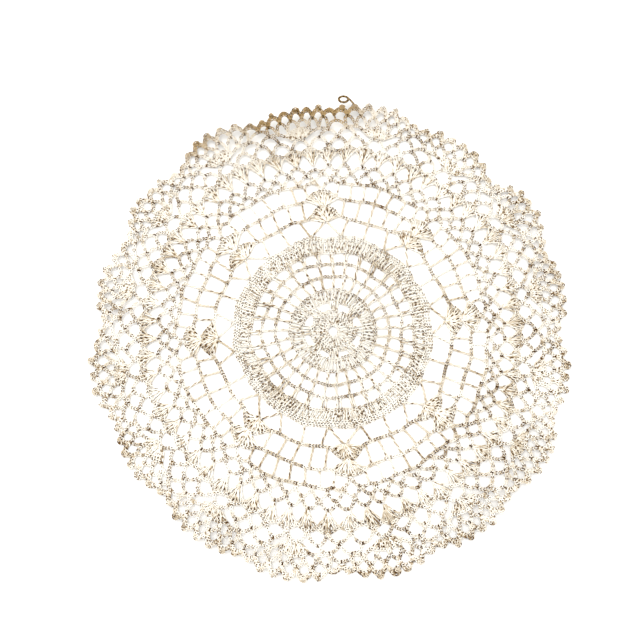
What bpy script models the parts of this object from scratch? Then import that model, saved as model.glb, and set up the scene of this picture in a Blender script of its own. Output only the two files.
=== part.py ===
"""Round crochet lace mat: a flat table mat of cotton thread with sixteen scallops and a picot edge.

The mat is worked in one piece, so it is one solid: a thin sheet with its openwork cut through.
A place on it is a turn, in degrees clockwise from +Y seen from above, and a radius in
millimetres. Both are first given in the regular pattern and then moved to where the uneven
handwork puts them. The sheet lies on z = 0 and its edge lifts a little at the top of the mat.
"""

import math
from collections import namedtuple

import bmesh
import bpy
from mathutils import Vector
from mathutils.geometry import delaunay_2d_cdt

MM = 0.001

# Size of the sheet
THICKNESS = 1.7
CENTRE_HOLE_RADIUS = 3.9
CENTRE_HOLE_SIDES = 12
CORNER_CUT = 1.1
KITE_WAIST = 0.55

# Where the centre ring lies from the middle of the mat's outer box
RING_X = 2.15
RING_Y = -4.12

# Sixty-four small steps make one full round, and eight of them one repeat of the pattern
STEP = 360 / 64
SHELL_TURN = -5.4
SCALLOPS = 16
FAN_TURN = SHELL_TURN - STEP
SCALLOP_PITCH = 360 / SCALLOPS

# Picot edge
PICOTS_A_SCALLOP = 7
PICOT_HEIGHT = 3.0
PICOT_HALF_WIDTH = 1.7
ARCH_POWER = 2.2

# Small hanging loop at the top of the mat
LOOP_TURN = 2.7
LOOP_RADIUS = 187.4
LOOP_OUTER = 3.9
LOOP_HOLE = 2.3
LOOP_NECK = 2.4
LOOP_ARC = 280
LOOP_ARC_POINTS = 7
LOOP_HOLE_SIDES = 6

# Unevenness of the handwork: radii where the pull of the shells fades in and that of the fans
# takes over
SHELL_PULL_FULL = 40
FAN_PULL_START = 105
FAN_PULL_FULL = 145
MEAN_PEAK = 182.5

# Ripples and the lifted edge
RIPPLES = 5
RIPPLE_HEIGHT = 1.0
RIPPLE_TURN = -10
RIPPLE_START = 90
EDGE_LIFT = 5.0
EDGE_LIFT_TURN = -10
EDGE_LIFT_SPREAD = 20
EDGE_LIFT_START = 150
OUTER_RADIUS = 186

# Thicker stitches stand a little above the chains
RELIEF = 0.5

# Points nearer than this count as one when a face is filled
SAME_POINT = 1e-6

COLOUR = (0.78, 0.70, 0.56, 1.0)
ROUGHNESS = 0.9

# The turn of each fan, the radius of the picots above it, and the notch that follows it
Scallop = namedtuple("Scallop", "fan_turn peak_radius notch_turn notch_radius")
SCALLOP_TABLE = (
    Scallop(12.5, 185.0, 23.0, 174.5),
    Scallop(35.0, 182.0, 47.0, 167.0),
    Scallop(56.0, 185.0, 68.5, 172.5),
    Scallop(78.5, 179.5, 90.5, 167.5),
    Scallop(101.5, 178.5, 111.5, 174.5),
    Scallop(121.5, 183.5, 133.0, 175.5),
    Scallop(143.5, 182.5, 155.0, 173.5),
    Scallop(166.0, 183.0, 178.0, 173.5),
    Scallop(190.5, 184.5, 202.0, 176.0),
    Scallop(213.0, 182.0, 225.0, 172.0),
    Scallop(236.0, 180.5, 247.0, 173.5),
    Scallop(259.0, 183.5, 272.0, 172.0),
    Scallop(282.0, 181.5, 294.5, 171.5),
    Scallop(304.5, 182.5, 316.5, 172.5),
    Scallop(327.5, 186.0, 340.0, 174.5),
    Scallop(350.5, 182.5, 360.5, 178.5),
)

# How far each repeat's shell lies ahead of its regular place and outside it
Shell = namedtuple("Shell", "ahead outside")
SHELL_TABLE = (
    Shell(2.0, 0.0),
    Shell(1.0, 0.0),
    Shell(-1.0, -0.5),
    Shell(-1.5, 0.5),
    Shell(-1.5, -2.0),
    Shell(0.5, -2.0),
    Shell(2.5, 0.5),
    Shell(1.5, 0.0),
)

# Openings that are cut through. Turn is at the inner side, lean is how far the outer side is
# ahead of it in degrees, and a kite is widest at its waist.
Opening = namedtuple(
    "Opening", "name count turn lean inner outer inner_width waist_width outer_width"
)
OPENING_TABLE = (
    Opening("flower", 8, 22.5, 0, 16.0, 22.0, 5.5, 0, 10.0),
    Opening("second mesh", 32, SHELL_TURN + 8.44, 0, 43.7, 51.3, 5.8, 0, 7.2),
    Opening("third mesh", 32, SHELL_TURN + 8.44, 0, 53.7, 60.6, 7.4, 0, 8.8),
    Opening("under the shell", 8, SHELL_TURN, 0, 75.2, 84.8, 15.5, 0, 3.2),
    Opening("right of the foot", 8, SHELL_TURN + 7.7, -0.4, 79.3, 88.2, 2.6, 0, 13.0),
    Opening("left of the foot", 8, SHELL_TURN - 7.7, 0.4, 79.3, 88.2, 2.6, 0, 13.0),
    Opening("first wide", 8, SHELL_TURN + 15.6, 1.5, 75.0, 87.4, 14.0, 0, 11.8),
    Opening("second wide", 8, SHELL_TURN + 29.4, -1.5, 75.0, 87.4, 14.0, 0, 11.8),
    Opening("tall one", 8, SHELL_TURN + 12.6, 0, 91.4, 102.6, 8.2, 0, 9.6),
    Opening("tall two", 8, SHELL_TURN + 19.2, 0, 90.6, 102.6, 8.2, 0, 9.6),
    Opening("tall three", 8, SHELL_TURN + 25.8, 0, 90.6, 102.6, 8.2, 0, 9.6),
    Opening("tall four", 8, SHELL_TURN + 32.4, 0, 91.4, 102.6, 8.2, 0, 9.6),
    Opening("right of the waist", 8, SHELL_TURN + 6.7, 0, 96.2, 105.0, 2.4, 6.8, 2.4),
    Opening("left of the waist", 8, SHELL_TURN - 6.7, 0, 96.2, 105.0, 2.4, 6.8, 2.4),
    Opening("upper one", 8, SHELL_TURN + 14.06, 0, 105.8, 115.8, 8.0, 0, 9.2),
    Opening("upper two", 8, SHELL_TURN + 19.69, 0, 105.4, 115.8, 8.0, 0, 9.2),
    Opening("upper three", 8, SHELL_TURN + 25.31, 0, 105.4, 115.8, 8.0, 0, 9.2),
    Opening("upper four", 8, SHELL_TURN + 30.94, 0, 105.8, 115.8, 8.0, 0, 9.2),
    Opening("right of the wing", 8, SHELL_TURN + 8.6, 0, 107.8, 115.2, 6.4, 0, 7.4),
    Opening("left of the wing", 8, SHELL_TURN - 8.6, 0, 107.8, 115.2, 6.4, 0, 7.4),
    Opening("between small shells", 64, SHELL_TURN, 0, 142.6, 154.0, 2.6, 8.6, 3.6),
    Opening("between fans", 16, SHELL_TURN + STEP, 0, 159.8, 167.8, 3.6, 9.6, 4.4),
)

# Stitch groups that stand up: a ridge of points across the middle of each
Ridge = namedtuple("Ridge", "name count turn radius half_turn points")
RIDGE_TABLE = (
    Ridge("first band", 24, 0, 27.5, 0, 1),
    Ridge("second band", 32, SHELL_TURN + 2.8, 67.0, 0, 1),
    Ridge("lower shell", 8, SHELL_TURN, 92.5, 3.2, 3),
    Ridge("upper shell", 8, SHELL_TURN, 103.5, 3.2, 3),
    Ridge("fan", 16, FAN_TURN, 159.5, 2.2, 3),
)

Place = namedtuple("Place", "turn radius")


def smooth(value, start, end):
    """Rises from 0 at start to 1 at end, level at both."""
    share = min(max((value - start) / (end - start), 0), 1)
    return share * share * (3 - 2 * share)


def around(turn, first_turn, values):
    """Reads evenly spaced values round the mat, the first of them at first_turn."""
    position = ((turn - first_turn) * len(values) / 360) % len(values)
    index = int(position)
    share = smooth(position - index, 0, 1)
    return values[index] * (1 - share) + values[(index + 1) % len(values)] * share


REGULAR_FANS = [FAN_TURN + SCALLOP_PITCH * (index + 1) for index in range(SCALLOPS)]
FAN_AHEAD = [row.fan_turn - regular for row, regular in zip(SCALLOP_TABLE, REGULAR_FANS)]
FAN_OUTSIDE = [row.peak_radius - MEAN_PEAK for row in SCALLOP_TABLE]
SHELL_AHEAD = [row.ahead for row in SHELL_TABLE]
SHELL_OUTSIDE = [row.outside for row in SHELL_TABLE]


def flat_point(turn, radius):
    """Point on the table at a turn and radius round the centre ring."""
    angle = math.radians(turn)
    return Vector((RING_X + radius * math.sin(angle), RING_Y + radius * math.cos(angle)))


def pattern_point(place):
    """Point on the table for a place in the regular pattern."""
    fans = smooth(place.radius, FAN_PULL_START, FAN_PULL_FULL)
    shells = smooth(place.radius, 0, SHELL_PULL_FULL) * (1 - fans)
    ahead = shells * math.degrees(around(place.turn, SHELL_TURN, SHELL_AHEAD) / place.radius)
    ahead += fans * around(place.turn, REGULAR_FANS[0], FAN_AHEAD)
    outside = shells * around(place.turn, SHELL_TURN, SHELL_OUTSIDE)
    outside += fans * around(place.turn, REGULAR_FANS[0], FAN_OUTSIDE)
    return flat_point(place.turn + ahead, place.radius + outside)


def lift(point):
    """Height of the sheet's underside over the table."""
    x = point.x - RING_X
    y = point.y - RING_Y
    radius = math.hypot(x, y)
    turn = math.degrees(math.atan2(x, y))
    away = (turn - EDGE_LIFT_TURN) / EDGE_LIFT_SPREAD
    edge = EDGE_LIFT * math.exp(-away * away) * smooth(radius, EDGE_LIFT_START, OUTER_RADIUS)
    wave = 1 + math.cos(math.radians(RIPPLES * (turn - RIPPLE_TURN)))
    return edge + RIPPLE_HEIGHT * wave * smooth(radius, RIPPLE_START, OUTER_RADIUS)


def opening_sections(opening):
    """Radius and width of an opening's cross sections, from its inner side out."""
    inner, outer = opening.inner, opening.outer
    if opening.waist_width:
        waist = inner + KITE_WAIST * (outer - inner)
        return (
            (inner, opening.inner_width),
            (waist, opening.waist_width),
            (outer, opening.outer_width),
        )
    cut = 2 * CORNER_CUT
    return (
        (inner, max(opening.inner_width - cut, opening.inner_width / 2)),
        (inner + CORNER_CUT, opening.inner_width),
        (outer - CORNER_CUT, opening.outer_width),
        (outer, max(opening.outer_width - cut, opening.outer_width / 2)),
    )


def opening_loop(opening, index):
    """Outline of one opening, at its place in the uneven handwork."""
    turn = opening.turn + index * 360 / opening.count
    left = []
    right = []
    for radius, width in opening_sections(opening):
        share = (radius - opening.inner) / (opening.outer - opening.inner)
        middle = turn + opening.lean * share
        half = math.degrees(width / 2 / radius)
        left.append(pattern_point(Place(middle - half, radius)))
        right.append(pattern_point(Place(middle + half, radius)))
    return left + right[::-1]


def ring_loop(centre, radius, sides):
    """Outline of a round hole."""
    loop = []
    for index in range(sides):
        angle = math.tau * index / sides
        loop.append(centre + radius * Vector((math.sin(angle), math.cos(angle))))
    return loop


def edge_radius(index, share):
    """Radius of the edge under the picots, for a share of -1 to 1 across a scallop."""
    scallop = SCALLOP_TABLE[index]
    notch = scallop.notch_radius if share > 0 else SCALLOP_TABLE[index - 1].notch_radius
    arch = 1 - abs(share) ** ARCH_POWER
    return notch + (scallop.peak_radius - PICOT_HEIGHT - notch) * arch


def edge_turn(index, share):
    """Turn of the edge for a share of -1 to 1 across a scallop."""
    scallop = SCALLOP_TABLE[index]
    before = SCALLOP_TABLE[index - 1].notch_turn - (360 if index == 0 else 0)
    if share > 0:
        return scallop.fan_turn + share * (scallop.notch_turn - scallop.fan_turn)
    return scallop.fan_turn + share * (scallop.fan_turn - before)


def hanging_loop_points(foot):
    """The lug of the hanging loop, from its left foot round to its right foot."""
    points = [flat_point(LOOP_TURN - math.degrees(LOOP_NECK / foot), foot)]
    centre = flat_point(LOOP_TURN, LOOP_RADIUS)
    for step in range(LOOP_ARC_POINTS):
        share = step / (LOOP_ARC_POINTS - 1) - 0.5
        angle = math.radians(LOOP_TURN + LOOP_ARC * share)
        points.append(centre + LOOP_OUTER * Vector((math.sin(angle), math.cos(angle))))
    points.append(flat_point(LOOP_TURN + math.degrees(LOOP_NECK / foot), foot))
    return points


def outline_loop():
    """The scalloped edge: a valley and a blunt picot by turns, with the loop for the first one."""
    loop = []
    for index in range(SCALLOPS):
        for picot in range(PICOTS_A_SCALLOP):
            valley = -1 + 2 * picot / PICOTS_A_SCALLOP
            loop.append(flat_point(edge_turn(index, valley), edge_radius(index, valley)))
            crest = valley + 1 / PICOTS_A_SCALLOP
            if index == 0 and picot == 0:
                loop.extend(hanging_loop_points(edge_radius(index, crest)))
                continue
            radius = edge_radius(index, crest) + PICOT_HEIGHT
            half = math.degrees(PICOT_HALF_WIDTH / radius)
            turn = edge_turn(index, crest)
            loop.append(flat_point(turn - half, radius))
            loop.append(flat_point(turn + half, radius))
    return loop


def all_loops():
    """The outline first, then every opening."""
    loops = [outline_loop(), ring_loop(flat_point(0, 0), CENTRE_HOLE_RADIUS, CENTRE_HOLE_SIDES)]
    for opening in OPENING_TABLE:
        for index in range(opening.count):
            loops.append(opening_loop(opening, index))
    loops.append(ring_loop(flat_point(LOOP_TURN, LOOP_RADIUS), LOOP_HOLE, LOOP_HOLE_SIDES))
    return loops


def ridge_points():
    """Points inside the sheet that are raised on its upper face."""
    points = []
    for ridge in RIDGE_TABLE:
        for index in range(ridge.count):
            turn = ridge.turn + index * 360 / ridge.count
            for step in range(ridge.points):
                share = 2 * step / (ridge.points - 1) - 1 if ridge.points > 1 else 0
                points.append(pattern_point(Place(turn + share * ridge.half_turn, ridge.radius)))
    return points


def fill_sheet(bm, loops, inner_points, underside):
    """Adds one face of the sheet to bm and returns its edge loops of vertices."""
    points = []
    faces = []
    for loop in loops:
        faces.append(list(range(len(points), len(points) + len(loop))))
        points.extend(loop)
    rim_count = len(points)
    points.extend(inner_points)
    filled = delaunay_2d_cdt(points, [], faces, 2, SAME_POINT)
    verts = []
    for index, point in enumerate(filled[0]):
        height = lift(point)
        if not underside:
            raised = min(filled[3][index], default=0) >= rim_count
            height += THICKNESS + (RELIEF if raised else 0)
        verts.append(bm.verts.new(Vector((point.x, point.y, height)) * MM))
    for corners in filled[2]:
        order = corners[::-1] if underside else corners
        bm.faces.new([verts[corner] for corner in order])
    place_of = {}
    for index, sources in enumerate(filled[3]):
        for source in sources:
            place_of[source] = verts[index]
    return [[place_of[source] for source in face] for face in faces]


def sheet_mesh():
    """The closed sheet: upper face, underside, and a wall round every loop."""
    loops = all_loops()
    bm = bmesh.new()
    upper = fill_sheet(bm, loops, ridge_points(), underside=False)
    lower = fill_sheet(bm, loops, [], underside=True)
    for top, bottom in zip(upper, lower):
        for index in range(len(top)):
            after = (index + 1) % len(top)
            bm.faces.new((top[index], top[after], bottom[after], bottom[index]))
    bmesh.ops.recalc_face_normals(bm, faces=bm.faces)
    mesh = bpy.data.meshes.new("lace_mat")
    bm.to_mesh(mesh)
    bm.free()
    return mesh


def cotton_material():
    """Undyed cotton thread."""
    material = bpy.data.materials.new("cotton")
    material.use_nodes = True
    shader = material.node_tree.nodes["Principled BSDF"]
    shader.inputs["Base Color"].default_value = COLOUR
    shader.inputs["Roughness"].default_value = ROUGHNESS
    shader.inputs["Metallic"].default_value = 0.0
    return material


def clear_scene():
    """Removes every object that is there at the start."""
    for existing in list(bpy.data.objects):
        bpy.data.objects.remove(existing, do_unlink=True)


def build_mat():
    """Puts the mat into the scene."""
    mat = bpy.data.objects.new("lace_mat", sheet_mesh())
    mat.data.materials.append(cotton_material())
    bpy.context.scene.collection.objects.link(mat)


if __name__ == "__main__":
    clear_scene()
    build_mat()
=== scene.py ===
"""Crochet lace mat: every chain, long stitch, fan and picot of a round cotton mat.

A place in the pattern is a turn, in degrees clockwise from +Y seen from above, and a radius in
millimetres from the centre ring. The handwork moves it to where the uneven stitches lie. All
lengths are in millimetres until a mesh is made.
"""

import logging
import math
from dataclasses import dataclass, field, replace
from enum import Enum

import bpy
import numpy as np
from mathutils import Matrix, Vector


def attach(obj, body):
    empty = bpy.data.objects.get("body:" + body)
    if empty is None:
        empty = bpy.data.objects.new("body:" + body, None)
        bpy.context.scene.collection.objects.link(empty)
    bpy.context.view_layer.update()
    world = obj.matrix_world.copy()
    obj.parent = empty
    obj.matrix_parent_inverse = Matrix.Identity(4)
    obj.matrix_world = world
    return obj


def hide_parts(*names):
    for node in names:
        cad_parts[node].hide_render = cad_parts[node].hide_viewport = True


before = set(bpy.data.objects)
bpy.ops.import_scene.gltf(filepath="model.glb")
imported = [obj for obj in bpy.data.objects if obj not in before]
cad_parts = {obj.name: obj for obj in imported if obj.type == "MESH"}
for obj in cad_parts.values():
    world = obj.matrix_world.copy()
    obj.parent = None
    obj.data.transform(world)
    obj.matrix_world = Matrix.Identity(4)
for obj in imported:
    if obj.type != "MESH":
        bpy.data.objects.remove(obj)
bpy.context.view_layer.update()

LOG = logging.getLogger("lace_mat")
MM = 0.001
FULL_TURN = 360.0
UP = np.array([0.0, 0.0, 1.0])
BOTH_SIDES = (-1.0, 1.0)
ARCH_POINTS = 25

# The point above the mat's lower edge from which the places of the rounds were taken
EYE = (-7.6, -146.8, 711.1)

# Sixty-four small steps make one full round, and eight of them one repeat of the pattern
STEPS_A_ROUND = 64
STEP = FULL_TURN / STEPS_A_ROUND
REPEATS = 8
REPEAT_PITCH = FULL_TURN / REPEATS
SHELL_TURN = -5.4
SHELL_AXES = SHELL_TURN + REPEAT_PITCH * np.arange(REPEATS)
SCALLOPS = 16
SCALLOP_PITCH = FULL_TURN / SCALLOPS
FIRST_FAN = SHELL_TURN - STEP + SCALLOP_PITCH
FAN_AXES = FIRST_FAN + SCALLOP_PITCH * np.arange(SCALLOPS)

# The turn of each fan, the radius of the picots above it, and the turn and the radius of the
# notch that follows it
SCALLOP_TABLE = (
    (12.5, 185.0, 23.0, 174.5),
    (35.0, 182.0, 47.0, 167.0),
    (56.0, 185.0, 68.5, 172.5),
    (78.5, 179.5, 90.5, 167.5),
    (101.5, 178.5, 111.5, 174.5),
    (121.5, 183.5, 133.0, 175.5),
    (143.5, 182.5, 155.0, 173.5),
    (166.0, 183.0, 178.0, 173.5),
    (190.5, 184.5, 202.0, 176.0),
    (213.0, 182.0, 225.0, 172.0),
    (236.0, 180.5, 247.0, 173.5),
    (259.0, 183.5, 272.0, 172.0),
    (282.0, 181.5, 294.5, 171.5),
    (304.5, 182.5, 316.5, 172.5),
    (327.5, 186.0, 340.0, 174.5),
    (350.5, 182.5, 360.5, 178.5),
)
FAN_TURNS, PEAK_RADII, NOTCH_TURNS, NOTCH_RADII = np.array(SCALLOP_TABLE).T

# How far each repeat's shell lies ahead of its regular place and outside it
SHELL_TABLE = (
    (2.0, 0.0),
    (1.0, 0.0),
    (-1.0, -0.5),
    (-1.5, 0.5),
    (-1.5, -2.0),
    (0.5, -2.0),
    (2.5, 0.5),
    (1.5, 0.0),
)
SHELLS_AHEAD, SHELLS_OUTSIDE = np.array(SHELL_TABLE).T

# Where the thread is browner at the edge near the loop: each patch's turn, its spread in degrees,
# the radius from which it grows outwards and its strength
BROWN_EDGE_TABLE = (
    (-16.5, 6.5, 160.0, 1.0),
    (-8.0, 9.0, 166.0, 0.65),
    (1.5, 6.5, 158.0, 0.95),
    (-36.0, 5.0, 168.0, 0.85),
    (-13.0, 24.0, 130.0, 0.22),
)
BROWN_EDGE_TURNS, BROWN_EDGE_SPREADS, BROWN_EDGE_STARTS, BROWN_EDGE_STRENGTHS = np.array(BROWN_EDGE_TABLE).T


def step_turns(first: float) -> np.ndarray:
    """Turns one step apart all the way round, the first so many steps past the first shell."""
    return SHELL_TURN + STEP * (np.arange(STEPS_A_ROUND) + first)


def mirrored(places: tuple, whole: float) -> tuple:
    """Places up to a middle one, and their images beyond it, where turn becomes whole - turn."""
    return (*places, *((whole - turn, radius) for turn, radius in places[-2::-1]))


def smooth(value: np.ndarray, start: float, end: float) -> np.ndarray:
    """Rises from 0 at start to 1 at end, level at both: 3 s^2 - 2 s^3 of the share s between."""
    share = np.clip((np.asarray(value, float) - start) / (end - start), 0.0, 1.0)
    return share * share * (3.0 - 2.0 * share)


def around(turn: np.ndarray, first_turn: float, values: np.ndarray) -> np.ndarray:
    """Reads evenly spaced values round the mat.

    Args:
        turn: Turns to read at, in degrees.
        first_turn: Turn of the first value.
        values: One value for each place, evenly spaced round the mat.

    Returns:
        The values at those turns, joined smoothly from one place to the next.
    """
    position = np.mod((np.asarray(turn, float) - first_turn) * len(values) / FULL_TURN, len(values))
    index = position.astype(int) % len(values)
    share = smooth(position - np.floor(position), 0.0, 1.0)
    return values[index] * (1.0 - share) + values[(index + 1) % len(values)] * share


def unit(vectors: np.ndarray) -> np.ndarray:
    """Vectors divided by their lengths."""
    return vectors / np.maximum(np.linalg.norm(vectors, axis=-1, keepdims=True), 1e-9)


def at_height(points: np.ndarray, height: float) -> np.ndarray:
    """Table points with a height over the middle of the lace."""
    return np.concatenate([points, np.full((*points.shape[:-1], 1), height)], axis=-1)


def bowed(starts: np.ndarray, ends: np.ndarray, peaks: np.ndarray, power: float) -> np.ndarray:
    """Arches from starts to ends through peaks: chord + bulge (1 - |2 s - 1| ^ power).

    Args:
        starts: First points, one row for each arch.
        ends: Last points.
        peaks: Points that the middles pass through.
        power: 1 for a pointed arch, 2 for a round one, more for a flat one.

    Returns:
        Points along every arch, in rows.
    """
    share = np.linspace(0.0, 1.0, ARCH_POINTS)[None, :, None]
    bulge = peaks - (starts + ends) / 2.0
    chord = starts[:, None] * (1.0 - share) + ends[:, None] * share
    return chord + bulge[:, None] * (1.0 - np.abs(2.0 * share - 1.0) ** power)


def spaced(lines: np.ndarray, count: int) -> np.ndarray:
    """Divides every line into equal stretches, by linear steps along its length.

    Args:
        lines: Points along every line, in rows.
        count: Stretches wanted in each.

    Returns:
        The points between which the stretches lie, in rows.
    """
    steps = np.linalg.norm(np.diff(lines, axis=1), axis=-1)
    along = np.concatenate([np.zeros((len(lines), 1)), np.cumsum(steps, axis=1)], axis=1)
    along /= along[:, -1:]
    wanted = np.linspace(0.0, 1.0, count + 1)
    index = np.array([np.searchsorted(row, wanted, side="right") for row in along]) - 1
    index = np.clip(index, 0, lines.shape[1] - 2)
    rows = np.arange(len(lines))[:, None]
    gap = along[rows, index + 1] - along[rows, index]
    share = ((wanted[None, :] - along[rows, index]) / gap)[..., None]
    return lines[rows, index] * (1.0 - share) + lines[rows, index + 1] * share


@dataclass(frozen=True)
class Sway:
    """A wave along one way of the table, whose phase sways along the other way."""

    length: float
    depth: float
    cross_length: float
    start: float = 0.0

    def at(self, along: np.ndarray, across: np.ndarray) -> np.ndarray:
        """Its height: sin(along / length + depth sin(across / cross length + start))."""
        phase = self.depth * np.sin(across / self.cross_length + self.start)
        return np.sin(along / self.length + phase)


@dataclass
class Handwork:
    """Where the uneven handwork puts each place of the pattern, and how much darker the thread is in
    places, by painted shade and patches.
    """

    ring_x: float = 2.15
    ring_y: float = -4.12
    shell_pull_full: float = 40.0
    fan_pull_start: float = 105.0
    fan_pull_full: float = 145.0
    mean_peak: float = 182.5
    pull: float = 0.8
    pull_start: float = 8.0
    pull_full: float = 60.0
    pull_x: Sway = Sway(5.6, 2.2, 17.0)
    pull_y: Sway = Sway(6.1, 2.2, 15.0, 1.0)
    picot_height: float = 3.0
    arch_power: float = 2.2
    ripples: int = 5
    ripple_height: float = 1.0
    ripple_turn: float = -10.0
    ripple_start: float = 90.0
    edge_lift: float = 5.0
    edge_lift_turn: float = -10.0
    edge_lift_spread: float = 20.0
    edge_lift_start: float = 150.0
    outer_radius: float = 186.0
    middle_height: float = 0.95
    brown_edge_growth: float = 14.0
    # Painted shade: the thread darkens towards one side, as if away from the lamp; soft patches of
    # uneven tone lie over it
    darkening: float = 0.03
    shaded_side_turn: float = 110.0
    patch: float = 0.12
    patch_start: float = 10.0
    patch_full: float = 60.0
    patch_x: Sway = Sway(13.0, 1.9, 26.0)
    patch_y: Sway = Sway(15.0, 1.6, 29.0)

    def flat(self, turn: np.ndarray, radius: np.ndarray) -> np.ndarray:
        """Table points round the centre ring: ring + radius (sin turn, cos turn).

        Args:
            turn: Turns, in degrees.
            radius: Distances from the ring.

        Returns:
            Points on the table.
        """
        angle = np.radians(turn)
        x = self.ring_x + radius * np.sin(angle)
        y = self.ring_y + radius * np.cos(angle)
        return np.stack(np.broadcast_arrays(x, y), axis=-1)

    def polar(self, points: np.ndarray) -> tuple[np.ndarray, np.ndarray]:
        """Where table points lie, seen from the centre ring.

        Args:
            points: Points on the table, with or without a height.

        Returns:
            Their turns in degrees and their radii.
        """
        x = points[..., 0] - self.ring_x
        y = points[..., 1] - self.ring_y
        return np.degrees(np.arctan2(x, y)), np.hypot(x, y)

    def place(self, turn: np.ndarray, radius: np.ndarray) -> np.ndarray:
        """Table points of places in the regular pattern.

        The turn gains what the shells and fans there lie ahead, and the radius what they lie
        outside. The shells' share fades in from the centre, and the fans' takes over further out.

        Args:
            turn: Turns in the pattern, in degrees.
            radius: Radii in the pattern.

        Returns:
            Points on the table, one pair of x and y for each place.
        """
        turn, radius = np.broadcast_arrays(np.asarray(turn, float), np.asarray(radius, float))
        fans = smooth(radius, self.fan_pull_start, self.fan_pull_full)
        shells = smooth(radius, 0.0, self.shell_pull_full) * (1.0 - fans)
        shell_ahead = np.degrees(around(turn, SHELL_TURN, SHELLS_AHEAD) / np.maximum(radius, 1.0))
        shell_outside = around(turn, SHELL_TURN, SHELLS_OUTSIDE)
        fan_ahead = around(turn, FIRST_FAN, FAN_TURNS - FAN_AXES)
        fan_outside = around(turn, FIRST_FAN, PEAK_RADII - self.mean_peak)
        ahead = shells * shell_ahead + fans * fan_ahead
        outside = shells * shell_outside + fans * fan_outside
        return self.pulled(self.flat(turn + ahead, radius + outside))

    def pulled(self, points: np.ndarray) -> np.ndarray:
        """Draws table points a little this way and that, as hand stitches are.

        Each way is a wave across the table whose phase sways with the other way, and it grows
        from the centre outwards.

        Args:
            points: Points on the table.

        Returns:
            The drawn points.
        """
        x, y = points[..., 0], points[..., 1]
        size = self.pull * smooth(self.polar(points)[1], self.pull_start, self.pull_full)
        way = np.stack([self.pull_x.at(y, x), self.pull_y.at(x, y)], axis=-1)
        return points + size[..., None] * way

    def edge(self, scallop: np.ndarray, share: np.ndarray, inside: float) -> np.ndarray:
        """Table points a little inside the scalloped edge.

        The edge is an arch over each fan: notch + (peak - notch)(1 - |share| ^ power).

        Args:
            scallop: Number of each point's scallop.
            share: Place across the scallop, from -1 at its first notch to 1 at its second.
            inside: How far inside the foot of the picots the points lie.

        Returns:
            Points on the table.
        """
        fan = FAN_TURNS[scallop]
        peak = PEAK_RADII[scallop] - self.picot_height
        before = NOTCH_TURNS[scallop - 1] - np.where(scallop == 0, FULL_TURN, 0.0)
        reach = np.where(share > 0, NOTCH_TURNS[scallop] - fan, fan - before)
        notch = np.where(share > 0, NOTCH_RADII[scallop], NOTCH_RADII[scallop - 1])
        arch = 1.0 - np.abs(share) ** self.arch_power
        return self.flat(fan + share * reach, notch + (peak - notch) * arch - inside)

    def lift(self, points: np.ndarray) -> np.ndarray:
        """Height of the mat's underside over the table, from soft ripples and the lifted edge.

        The lift at the edge is lift exp(-(turn away / spread)^2), the ripples are height
        (1 + cos(ripples x turn)), and both grow outwards from a start.

        Args:
            points: Points of the flat lace.

        Returns:
            The height at every point.
        """
        turn, radius = self.polar(points)
        away = (turn - self.edge_lift_turn) / self.edge_lift_spread
        rise = smooth(radius, self.edge_lift_start, self.outer_radius)
        edge = self.edge_lift * np.exp(-away * away) * rise
        wave = 1.0 + np.cos(np.radians(self.ripples * (turn - self.ripple_turn)))
        return edge + self.ripple_height * wave * smooth(radius, self.ripple_start, self.outer_radius)

    def brown_edge(self, points: np.ndarray) -> np.ndarray:
        """Share of the brown edge near the loop, on flat lace.

        It is the sum of the patches: strength exp(-(turn from the patch / spread)^2), growing
        from nought at the patch's start over a few millimetres outwards.

        Args:
            points: Points of the flat lace.

        Returns:
            The share of the stain at every point, up to 1.
        """
        turn, radius = (values[..., None] for values in self.polar(points))
        away = (turn - BROWN_EDGE_TURNS) / BROWN_EDGE_SPREADS
        rise = smooth((radius - BROWN_EDGE_STARTS) / self.brown_edge_growth, 0.0, 1.0)
        return np.minimum((BROWN_EDGE_STRENGTHS * np.exp(-away * away) * rise).sum(axis=-1), 1.0)

    def side_shade_and_patches(self, points: np.ndarray) -> np.ndarray:
        """How much darker than the rest the thread is, or lighter where it is below nought.

        Painted shade makes one side darker than the other, by the darkening times the distance
        towards that side over the outer radius, as if away from the lamp, and over that lie soft
        patches of uneven tone, the product of two waves that sway across each other.

        Args:
            points: Points of the flat lace.

        Returns:
            The darkness at every point.
        """
        x, y = points[..., 0], points[..., 1]
        turn = math.radians(self.shaded_side_turn)
        lean = (x * math.sin(turn) + y * math.cos(turn)) / self.outer_radius
        size = self.patch * smooth(np.hypot(x, y), self.patch_start, self.patch_full)
        return self.darkening * lean + size * self.patch_x.at(x, y) * self.patch_y.at(y, x)

    def lay(self, points: np.ndarray) -> np.ndarray:
        """Lays flat lace on the ripples of the mat.

        A raised point stays on its line of sight from the eye, so it lies nearer the foot of the
        eye: flat + (eye - flat) height / (height of the eye).

        Args:
            points: Points of the flat lace, with their height over its middle.

        Returns:
            Points over the table.
        """
        height = self.lift(points) + self.middle_height + points[..., 2]
        toward = np.array(EYE[:2]) - points[..., :2]
        flat = points[..., :2] + toward * (height / EYE[2])[..., None]
        return np.concatenate([flat, height[..., None]], axis=-1)


class Face(Enum):
    """How high a group of stitches lies in the mat."""

    LEVEL = 0.0
    OVER = 0.35


@dataclass(frozen=True)
class Stitch:
    """A long stitch: strands at a small spread from its middle, twisted round each other.

    The twist counts turns from foot to head, and the points are those along a strand.
    """

    strands: int = 3
    spread: float = 0.44
    twist: float = 1.1
    points: int = 8
    face: Face = Face.LEVEL


@dataclass(frozen=True)
class Band:
    """A close round: its stitches, the radii of their feet and heads, and their lean.

    The lean is how far the heads stand ahead of the feet, in degrees.
    """

    stitches: int
    inner: float
    outer: float
    lean: float


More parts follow.
